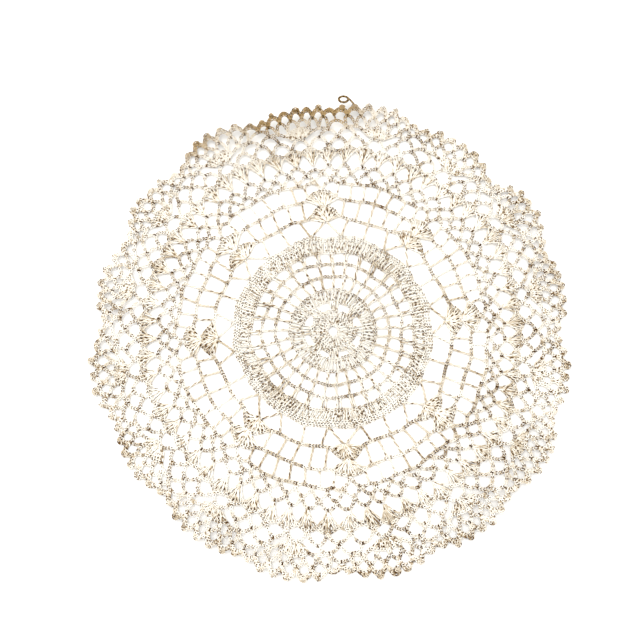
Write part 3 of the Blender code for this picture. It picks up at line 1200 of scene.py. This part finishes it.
@dataclass
class ShellRounds(Rounds):
    """Eight pairs of shells, one above the other, with open squares between them.

    A place in the fields below is a turn past the shell's axis and a radius. The chains and the
    turns of the rows run as far as the middle between two shells, and are mirrored there.
    """

    name: str = "shell_rounds"
    seed: int = 37
    inner: float = 74.5
    outer: float = 118.0
    cover: float = 0.55
    thread: float = 0.43
    shade: float = 0.13
    band_shade: float = -0.1
    bar: Stitch = Stitch(strands=2, spread=0.6, twist=2.4, points=11)
    low_legs: tuple = (((8.3, 74.8), (0.5, 86.2)), ((8.7, 74.8), (12.5, 88.6)))
    first_turns: tuple = (22.5,)
    first_row: tuple = (74.8, 88.6)
    first_chain: tuple = ((8.1, 90.2), (9.6, 89.3), (12.5, 89.0), (22.5, 88.8))
    low_shell: Fan = Fan(
        foot_radius=86.4,
        foot_half_width=0.9,
        top_radius=97.4,
        corner_radius=90.0,
        half_turn=7.7,
        stitches=12,
    )
    second_turns: tuple = (9.3, 15.9, 22.5)
    second_row: tuple = (89.6, 103.8)
    second_chain: tuple = ((6.9, 105.0), (9.3, 104.4), (22.5, 104.2))
    high_shell: Fan = Fan(
        foot_radius=97.8,
        foot_half_width=0.9,
        top_radius=109.6,
        corner_radius=104.8,
        half_turn=6.5,
        stitches=12,
        face=Face.OVER,
    )
    third_turns: tuple = (11.25, 16.9, 22.5)
    third_row: tuple = (104.8, 117.0)
    high_leg: tuple = ((5.9, 106.2), (6.2, 116.0))
    third_chain: tuple = ((6.2, 116.4), (8.0, 117.2), (22.5, 117.5))
    crown_arch: tuple = ((6.2, 116.2), (0.0, 111.4), (3.0, 118.6))
    crown_power: float = 2.0
    line_points: int = 24

    def line(self, places: tuple) -> None:
        """Works a chain through the same few places of every repeat, straight between them.

        Args:
            places: Its places as far as the middle between two shells.
        """
        turns, radii = np.array(mirrored(places, REPEAT_PITCH)).T
        last = len(turns) - 1
        share = np.linspace(0.0, last, self.line_points * last + 1)
        turn = np.interp(share, np.arange(last + 1), turns)
        radius = np.interp(share, np.arange(last + 1), radii)
        self.yarn.chain(self.handwork.place(SHELL_AXES[:, None] + turn, radius))

    def leg(self, foot: tuple, head: tuple) -> None:
        """Works the same long stitch on both sides of every shell axis.

        Args:
            foot: Place of its inner end.
            head: Place of its outer end.
        """
        ends = (
            self.handwork.place((SHELL_AXES[:, None] + np.array(BOTH_SIDES) * turn).ravel(), radius)
            for turn, radius in (foot, head)
        )
        self.yarn.posts(*ends, self.bar)

    def bars(self, turns: tuple, row: tuple) -> None:
        """Works the same few long stitches in every repeat.

        Args:
            turns: Their turns as far as the middle between two shells.
            row: Radii of their feet and heads.
        """
        places = mirrored(tuple((turn, row) for turn in turns), REPEAT_PITCH)
        spread = np.array([turn for turn, _ in places])
        self.regular_posts((SHELL_AXES[:, None] + spread).ravel(), *row, self.bar)

    def work(self) -> None:
        """Works the first row of long legs, then the rows of squares and the shells."""
        for foot, head in self.low_legs:
            self.leg(foot, head)
        self.bars(self.first_turns, self.first_row)
        self.line(self.first_chain)
        self.fans(SHELL_AXES, self.low_shell)
        self.bars(self.second_turns, self.second_row)
        self.line(self.second_chain)
        self.fans(SHELL_AXES, self.high_shell)
        self.bars(self.third_turns, self.third_row)
        self.leg(*self.high_leg)
        self.line(self.third_chain)
        for side in BOTH_SIDES:
            foot, end, top = (
                self.handwork.place(SHELL_AXES + side * turn, radius)
                for turn, radius in self.crown_arch
            )
            self.yarn.chain(bowed(foot, end, top, self.crown_power))


@dataclass
class NetRounds(Rounds):
    """Two rounds of chain net and a round of small shells.

    The nodes of the net are given by the first one's steps past a shell, their radius and how
    uneven they are.
    """

    name: str = "net_rounds"
    seed: int = 41
    inner: float = 118.0
    outer: float = 147.0
    cover: float = 0.85
    shade: float = 0.05
    feet: tuple = (-0.5, 117.8, 0.3)
    low_nodes: tuple = (0.0, 124.2, 1.3)
    high_nodes: tuple = (0.5, 130.8, 1.2)
    node_rise: float = 0.7
    arch: float = 2.8
    small_shell: Fan = Fan(
        foot_radius=132.4,
        foot_half_width=0.5,
        top_radius=145.4,
        corner_radius=142.0,
        half_turn=0.49 * STEP,
        stitches=6,
        pinch=0.7,
    )

    def nodes(self, first: float, radius: float, size: float) -> np.ndarray:
        """Uneven table points, one for each step round the mat.

        Args:
            first: Steps of the first one past a shell.
            radius: Their radius.
            size: How uneven they are.

        Returns:
            Points on the table, in order.
        """
        turns = step_turns(first)
        turns = turns + np.degrees(self.yarn.wobble(turns.shape, size) / radius)
        radii = radius + self.yarn.wobble(turns.shape, size * self.node_rise)
        return self.handwork.place(turns, radii)

    def work(self) -> None:
        """Works the net outwards and then the small shells on it."""
        feet = self.nodes(*self.feet)
        low = self.arcs(feet, self.nodes(*self.low_nodes), self.arch)
        self.knots(feet)
        high = self.arcs(low, self.nodes(*self.high_nodes), self.arch)
        self.knots(low)
        self.knots(high)
        self.fans(step_turns(0.5), self.small_shell)


@dataclass
class FanRounds(Rounds):
    """A round of tall arches, sixteen fans and the arches between and above them.

    A place in the fields below is a number of steps past the fan's axis and a radius. The places
    over the fan run as far as its axis, and are mirrored there.
    """

    name: str = "fan_rounds"
    seed: int = 53
    inner: float = 147.0
    outer: float = 171.0
    cover: float = 0.75
    thread: float = 0.42
    shade: float = 0.02
    tall_foot: float = 146.2
    tall_top: float = 154.6
    tall_wobble: float = 0.6
    tall_power: float = 2.6
    fan: Fan = Fan(
        foot_radius=155.4,
        foot_half_width=5.0,
        top_radius=163.6,
        corner_radius=159.6,
        half_turn=0.68 * STEP,
        stitches=11,
    )
    low_places: tuple = ((1.02, 155.0), (2.0, 155.2), (2.98, 155.0))
    high_places: tuple = ((1.5, 161.2), (2.5, 161.2))
    fan_places: tuple = ((-1.5, 162.0), (-1.0, 162.0), (-0.5, 163.2), (0.0, 164.4))
    fan_power: float = 4.0
    side_places: tuple = ((0.7, 160.0), (1.5, 161.6), (1.05, 162.2))
    side_power: float = 3.0
    picots: int = 7
    last_round: float = 8.4
    notch_round: float = 5.4
    notch_places: tuple = ((1.5, 161.8),)
    notch_rise: float = 6.5
    notch_bar: Stitch = Stitch(strands=2, spread=0.45, twist=1.0)

    def spots(self, places: tuple, side: float = 1.0) -> np.ndarray:
        """Table points at the same few places of every fan, or of its other side with -1."""
        steps, radii = np.array(places).T
        return self.handwork.place(FAN_AXES[:, None] + steps * side * STEP, radii)

    def shares(self) -> np.ndarray:
        """Shares across a scallop of the feet of the last arches."""
        return np.linspace(-1.0, 1.0, self.picots + 1)

    def rims(self, share: np.ndarray, inside: float) -> np.ndarray:
        """Table points of every scallop inside its edge, nearer to it towards the notches.

        Args:
            share: Places across a scallop, from -1 to 1.
            inside: How far inside the foot of the picots they lie in the scallop's middle.

        Returns:
            Points, as an array of scallop, place and x, y.
        """
        scallop = np.arange(SCALLOPS)[:, None] + np.zeros(len(share), int)
        fade = (self.notch_round / self.last_round - 1.0) * share**2 + 1.0
        return self.handwork.edge(scallop, share + np.zeros(scallop.shape), inside * fade)

    def between(self, feet: np.ndarray, tops: np.ndarray, power: float) -> None:
        """Works a chain arch over every gap between neighbouring feet of each scallop."""
        starts, ends = feet[:, :-1].reshape(-1, 2), feet[:, 1:].reshape(-1, 2)
        self.yarn.chain(bowed(starts, ends, tops.reshape(-1, 2), power))

    def work(self) -> None:
        """Works the tall arches, the fans on every fourth one, and the arches over them."""
        turns = step_turns(0.5)
        feet = self.handwork.place(turns, self.tall_foot)
        uneven = self.yarn.wobble(turns.shape, self.tall_wobble)
        tall = self.handwork.place(turns + STEP / 2.0, self.tall_top + uneven)
        self.arcs(feet, tall, self.tall_power)
        self.fans(FAN_AXES, self.fan)
        low = self.spots(self.low_places)
        high = self.spots(self.high_places)
        self.between(low, high, self.tall_power)
        self.knots(low.reshape(-1, 2))
        self.knots(high.reshape(-1, 2))
        tops = self.rims(self.shares(), self.last_round)
        over_fan = self.spots(mirrored(self.fan_places, 0.0))
        self.between(over_fan, tops[:, 1:-1], self.fan_power)
        for side in BOTH_SIDES:
            corner, beside, top = np.moveaxis(self.spots(self.side_places, side), 1, 0)
            self.yarn.chain(bowed(corner, beside, top, self.side_power))
        self.notches(tops[:, -1])

    def notches(self, tops: np.ndarray) -> None:
        """Works the arch between neighbouring fans and the stitch that ties it to the edge.

        Args:
            tops: Table points under the edge at every notch.
        """
        start = self.spots(self.notch_places)[:, 0]
        end = np.roll(self.spots(self.notch_places, -1.0)[:, 0], -1, axis=0)
        middle = (start + end) / 2.0
        reach = np.linalg.norm(tops - middle, axis=-1, keepdims=True)
        peak = middle + (tops - middle) * np.minimum(1.0, self.notch_rise / reach)
        self.yarn.chain(bowed(start, end, peak, self.tall_power))
        self.yarn.posts(peak, tops, self.notch_bar)


@dataclass
class ScallopedEdge(FanRounds):
    """The last arches, the firm rim of short stitches and the picots."""

    name: str = "scalloped_edge"
    seed: int = 67
    inner: float = 163.0
    outer: float = 184.0
    cover: float = 0.75
    foot_pull: float = 0.3
    arch: float = 3.6
    arch_inside: float = 1.4
    notch_depth: float = 2.2
    rim_stitches: int = 4
    rim_stitch: Stitch = Stitch(strands=2, spread=0.42, twist=0.7, points=5)
    rim_stitch_foot: float = 0.4
    rim_stitch_head: float = 1.9
    rim_ends: float = 2.0
    rim_top: float = 1.7
    # Painted shade of the chain along the rim
    rim_shade: float = 0.12
    picot_foot: float = 1.3
    picot_height: float = 1.35
    picot_height_wobble: float = 0.4
    picot_width: float = 2.2
    picot_width_wobble: float = 0.25
    picot_fade: float = 0.45
    picot_pull: float = 0.7
    picot_pitch: float = 1.9
    # Painted shade of the picots
    picot_shade: float = 0.15
    picot_points: int = 16

    def work(self) -> None:
        """Works the last arches on the tops of the round before, the rim and its picots."""
        shares = self.shares()
        feet = self.rims(shares, self.last_round)
        feet = feet + self.yarn.wobble(feet.shape, self.foot_pull)
        feet[:, 0] = np.roll(feet[:, -1], 1, axis=0)
        middles = (shares[:-1] + shares[1:]) / 2.0
        tops = self.rims(middles, self.arch_inside + self.notch_depth * middles**2)
        self.between(feet, tops, self.arch)
        self.knots(feet[:, 1:].reshape(-1, 2))
        starts, ends = feet[:, :-1].reshape(-1, 2), feet[:, 1:].reshape(-1, 2)
        tops = tops.reshape(-1, 2)
        out = unit(tops - (starts + ends) / 2.0)
        self.rim(starts, ends, tops, out)
        self.loops(tops, out, np.tile(1.0 - self.picot_fade * middles**2, SCALLOPS))

    def rim(
        self, starts: np.ndarray, ends: np.ndarray, tops: np.ndarray, out: np.ndarray
    ) -> None:
        """Works short stitches along the last arches, and a chain over their heads.

        Args:
            starts: Table points of the arches' first feet.
            ends: Table points of their second feet.
            tops: Table points of their tops.
            out: The way out from every arch.
        """
        lines = spaced(bowed(starts, ends, tops, self.arch), self.rim_stitches + 1)
        inner = lines[:, 1:-1].reshape(-1, 2)
        outward = np.repeat(out, self.rim_stitches, axis=0)
        feet = inner - self.rim_stitch_foot * outward
        self.yarn.posts(feet, inner + self.rim_stitch_head * outward, self.rim_stitch)
        beyond = self.rim_ends * out
        heads = bowed(starts + beyond, ends + beyond, tops + self.rim_top * out, self.arch)
        self.yarn.chain(heads, darkened_by=self.rim_shade)

    def loops(self, tops: np.ndarray, out: np.ndarray, size: np.ndarray) -> None:
        """Works a picot on every arch: an oval chain, centre - tall cos t out + wide sin t side.

        Args:
            tops: Table points of the arches' tops.
            out: The way out from every arch.
            size: Share of its full size that each picot has.
        """
        step = math.tau * np.arange(self.picot_points + 1) / self.picot_points
        side = np.stack([out[:, 1], -out[:, 0]], axis=-1)
        taller = self.yarn.wobble(size.shape, self.picot_height_wobble)
        wider = self.yarn.wobble(size.shape, self.picot_width_wobble)
        tall = self.picot_height * (size + taller)[:, None, None]
        wide = self.picot_width * (size + wider)[:, None, None]
        centres = tops + (self.picot_foot + tall[:, 0]) * out
        centres = centres + self.yarn.wobble(tops.shape, self.picot_pull)
        ovals = centres[:, None] - tall * np.cos(step)[:, None] * out[:, None]
        ovals = ovals + wide * np.sin(step)[:, None] * side[:, None]
        self.yarn.chain(ovals, Face.OVER, self.picot_pitch, self.picot_shade)


@dataclass
class HangingLoop(ThreadPiece):
    """The small oval loop of twisted thread at the top notch, with its tail.

    It grows from the edge. The tail starts and bends at the given
    distances from the oval's middle.
    """

    name: str = "hanging_loop"
    seed: int = 71
    turn: float = 2.7
    radius: float = 187.0
    half_width: float = 3.7
    half_height: float = 2.5
    oval_points: int = 48
    oval_spread: float = 0.62
    tail_start: tuple = (2.6, 1.8)
    tail_bend: tuple = (7.2, -1.6)
    tail_turn: float = 5.9
    tail_radius: float = 180.4
    tail_points: int = 20
    tail_spread: float = 0.45
    twist_pitch: float = 3.4
    height: float = 0.2
    darkening: float = 0.3

    def work(self) -> None:
        """Works the oval ring and the tail that bends down from it to the edge.

        The oval is centre + (width cos t, height sin t), and the tail a quadratic curve: start
        (1 - s)^2 + 2 bend s (1 - s) + foot s^2.
        """
        centre = self.handwork.flat(np.array(self.turn), np.array(self.radius))
        step = math.tau * np.arange(self.oval_points + 1) / self.oval_points
        reach = [self.half_width * np.cos(step), self.half_height * np.sin(step)]
        oval = at_height(centre + np.stack(reach, axis=-1), self.height)
        self.yarn.rope(oval, True, self.oval_spread, self.twist_pitch, self.darkening)
        share = np.linspace(0.0, 1.0, self.tail_points)[:, None]
        foot = self.handwork.flat(np.array(self.tail_turn), np.array(self.tail_radius))
        start = centre + np.array(self.tail_start)
        bend = centre + np.array(self.tail_bend)
        tail = start * (1 - share) ** 2 + 2.0 * bend * share * (1 - share) + foot * share**2
        tail = at_height(tail, self.height)
        self.yarn.rope(tail, False, self.tail_spread, self.twist_pitch, self.darkening)


@dataclass
class Table:
    """The plain pale surface under the mat, in metres."""

    size: float = 6.0
    below: float = 0.0003
    colour: tuple = (0.82, 0.81, 0.785)
    roughness: float = 0.9
    sheen: float = 0.1

    def build(self) -> bpy.types.Object:
        """Makes the flat surface just under the mat.

        Returns:
            The surface.
        """
        half = self.size / 2.0
        outline = [(-half, -half), (half, -half), (half, half), (-half, half)]
        mesh = bpy.data.meshes.new("table")
        mesh.from_pydata([(x, y, -self.below) for x, y in outline], [], [(0, 1, 2, 3)])
        material = bpy.data.materials.new("pale_table")
        material.use_nodes = True
        shader = material.node_tree.nodes["Principled BSDF"]
        shader.inputs["Base Color"].default_value = (*self.colour, 1.0)
        shader.inputs["Roughness"].default_value = self.roughness
        shader.inputs["Specular IOR Level"].default_value = self.sheen
        mesh.materials.append(material)
        table = bpy.data.objects.new("table", mesh)
        bpy.context.scene.collection.objects.link(table)
        return table


@dataclass
class Studio:
    """Soft light from all sides, a broad lamp and the camera, with lengths in metres."""

    world_strength: float = 1.6
    lamp_power: float = 17.0
    lamp_size: float = 1.2
    lamp_place: tuple = (-0.7, 0.9, 1.5)
    camera_tilt: float = 12.0
    focal_pixels: float = 967.0
    picture_pixels: float = 640.0

    def light(self) -> None:
        """Sets the even surroundings and the broad lamp."""
        world = bpy.data.worlds.new("soft_surroundings")
        world.use_nodes = True
        background = world.node_tree.nodes["Background"]
        background.inputs["Color"].default_value = (1.0, 1.0, 1.0, 1.0)
        background.inputs["Strength"].default_value = self.world_strength
        bpy.context.scene.world = world
        lamp = bpy.data.lights.new("broad_lamp", "AREA")
        lamp.energy = self.lamp_power
        lamp.size = self.lamp_size
        holder = bpy.data.objects.new("broad_lamp", lamp)
        holder.location = self.lamp_place
        holder.rotation_euler = Vector(self.lamp_place).to_track_quat("Z", "Y").to_euler()
        bpy.context.scene.collection.objects.link(holder)
        bpy.context.scene.view_settings.view_transform = "Standard"

    def camera(self) -> None:
        """Sets the camera at the eye, tilted from straight down towards the loop."""
        camera = bpy.data.cameras.new("camera")
        camera.lens = self.focal_pixels / self.picture_pixels * camera.sensor_width
        holder = bpy.data.objects.new("camera", camera)
        holder.location = [side * MM for side in EYE]
        holder.rotation_euler = (math.radians(self.camera_tilt), 0.0, 0.0)
        bpy.context.scene.collection.objects.link(holder)
        bpy.context.scene.camera = holder


def main() -> None:
    """Builds the mat from its centre outwards, then the table, the light and the camera."""
    logging.basicConfig(level=logging.INFO, format="%(message)s")
    handwork = Handwork()
    finish = CottonFinish().material()
    kinds = [CentreMedallion, MeshRounds, ShellRounds, NetRounds, FanRounds, ScallopedEdge]
    for kind in (*kinds, HangingLoop):
        kind(handwork).build(finish)
    Table().build()
    studio = Studio()
    studio.light()
    studio.camera()


if __name__ == "__main__":
    main()
